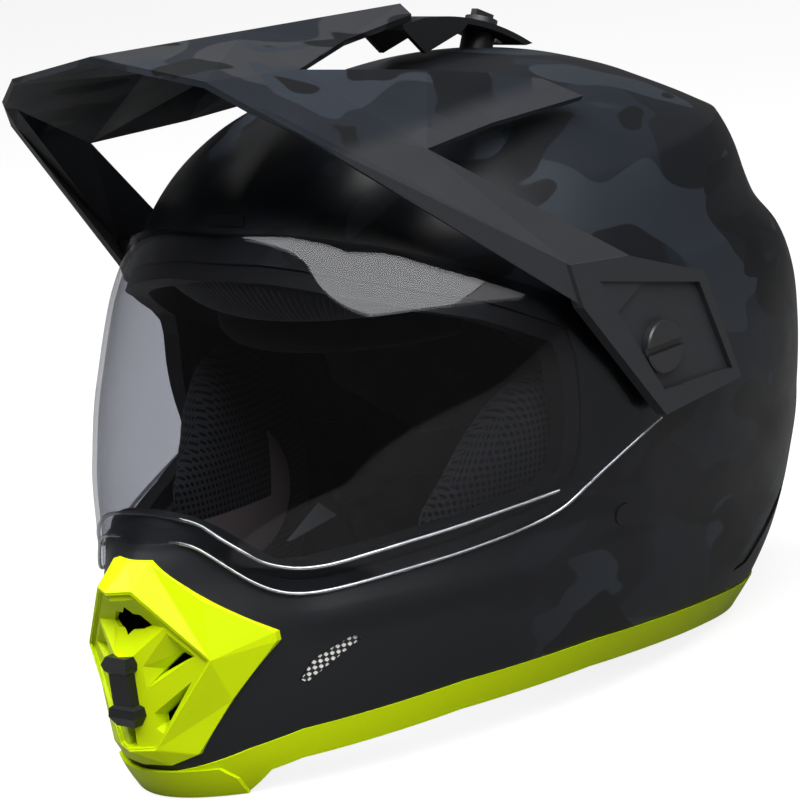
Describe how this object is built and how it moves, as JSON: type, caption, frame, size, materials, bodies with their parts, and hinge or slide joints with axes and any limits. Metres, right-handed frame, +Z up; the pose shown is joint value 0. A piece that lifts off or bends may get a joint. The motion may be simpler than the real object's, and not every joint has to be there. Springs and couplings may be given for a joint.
{
  "type": "dual sport helmet",
  "caption": "Full-face dual sport riding helmet with a folding clear shield, a faceted sun peak, a chin vent with a slider, padded liner and chin straps.",
  "frame": {"origin": "centre plane at mid-length, level with the edge that the helmet rests on", "axes": "+X to the wearer's left, +Y to the back of the head, +Z up"},
  "size_m": [0.2682, 0.368, 0.2958],
  "materials": {
    "camo_shell": "matte",
    "camo_peak": "matte",
    "yellow_plastic": "gloss",
    "dark_plastic": "matte",
    "black_rubber": "matte",
    "clear_shield": "gloss",
    "liner_foam": "matte",
    "air_mesh_fabric": "matte",
    "lining_fabric": "matte",
    "strap_webbing": "matte",
    "steel": "satin",
    "steel_mesh": "satin"
  },
  "bodies": {
    "helmet": {"outer_shell": "camo_shell", "lower_trim": "yellow_plastic", "eyeport_gasket": "black_rubber", "crown_boss": "dark_plastic", "chin_vent_bezel": "yellow_plastic", "chin_vent_filter": "air_mesh_fabric", "rear_vent_cover": "dark_plastic", "brow_vent": "dark_plastic", "comfort_liner": "air_mesh_fabric", "chin_eps": "liner_foam", "neck_roll": "lining_fabric", "chin_strap_left": "strap_webbing", "chin_strap_right": "strap_webbing", "shield_baseplate_left": "dark_plastic", "shield_baseplate_right": "dark_plastic", "screw_insert_left": "steel", "screw_insert_right": "steel", "side_vent_mesh_left": "steel_mesh", "side_vent_mesh_right": "steel_mesh", "side_plug_left": "black_rubber", "side_plug_right": "black_rubber", "exhaust_grille_left": "dark_plastic", "exhaust_grille_right": "dark_plastic", "eps_front_left": "liner_foam", "eps_front_right": "liner_foam", "eps_rear_left": "liner_foam", "eps_rear_right": "liner_foam", "cheek_base_left": "liner_foam", "cheek_base_right": "liner_foam", "cheek_pad_left": "air_mesh_fabric", "cheek_pad_right": "air_mesh_fabric", "strap_anchor_left": "steel", "strap_anchor_right": "steel"},
    "shield": {"face_shield": "clear_shield"},
    "sun_peak": {"peak": "camo_peak", "peak_centre_mount": "dark_plastic"},
    "vent_slider": {"chin_vent_slider": "dark_plastic", "chin_vent_shutter": "dark_plastic"},
    "left_screw": {"side_screw_left": "dark_plastic"},
    "right_screw": {"side_screw_right": "dark_plastic"},
    "knob": {"centre_knob": "dark_plastic"},
    "ring": {"buckle_ring": "steel"}
  },
  "joints": [
    {"name": "shield_hinge", "type": "hinge", "parent": "helmet", "child": "shield", "pos_m": [0, 0.0135, 0.14633], "axis": [-1, 0, 0], "range_deg": [0, 36]},
    {"name": "peak_hinge", "type": "hinge", "parent": "helmet", "child": "sun_peak", "pos_m": [0, 0.0135, 0.14633], "axis": [1, 0, 0], "range_deg": [0, 5]},
    {"name": "vent_slide", "type": "slide", "parent": "helmet", "child": "vent_slider", "axis": [0, 0, -1], "range_m": [0, 0.0065]},
    {"name": "left_screw_turn", "type": "hinge", "parent": "helmet", "child": "left_screw", "pos_m": [0.125, 0.0135, 0.14633], "axis": [1, 0, 0], "continuous": true},
    {"name": "right_screw_turn", "type": "hinge", "parent": "helmet", "child": "right_screw", "pos_m": [-0.125, 0.0135, 0.14633], "axis": [-1, 0, 0], "continuous": true},
    {"name": "knob_turn", "type": "hinge", "parent": "helmet", "child": "knob", "pos_m": [0, 0.07096, 0.26161], "axis": [0, 0.4462, 0.8949], "continuous": true},
    {"name": "ring_swing", "type": "hinge", "parent": "helmet", "child": "ring", "pos_m": [-0.0272, 0.026, 0.02849], "axis": [0, 1, 0], "range_deg": [-70, 70]}
  ]
}
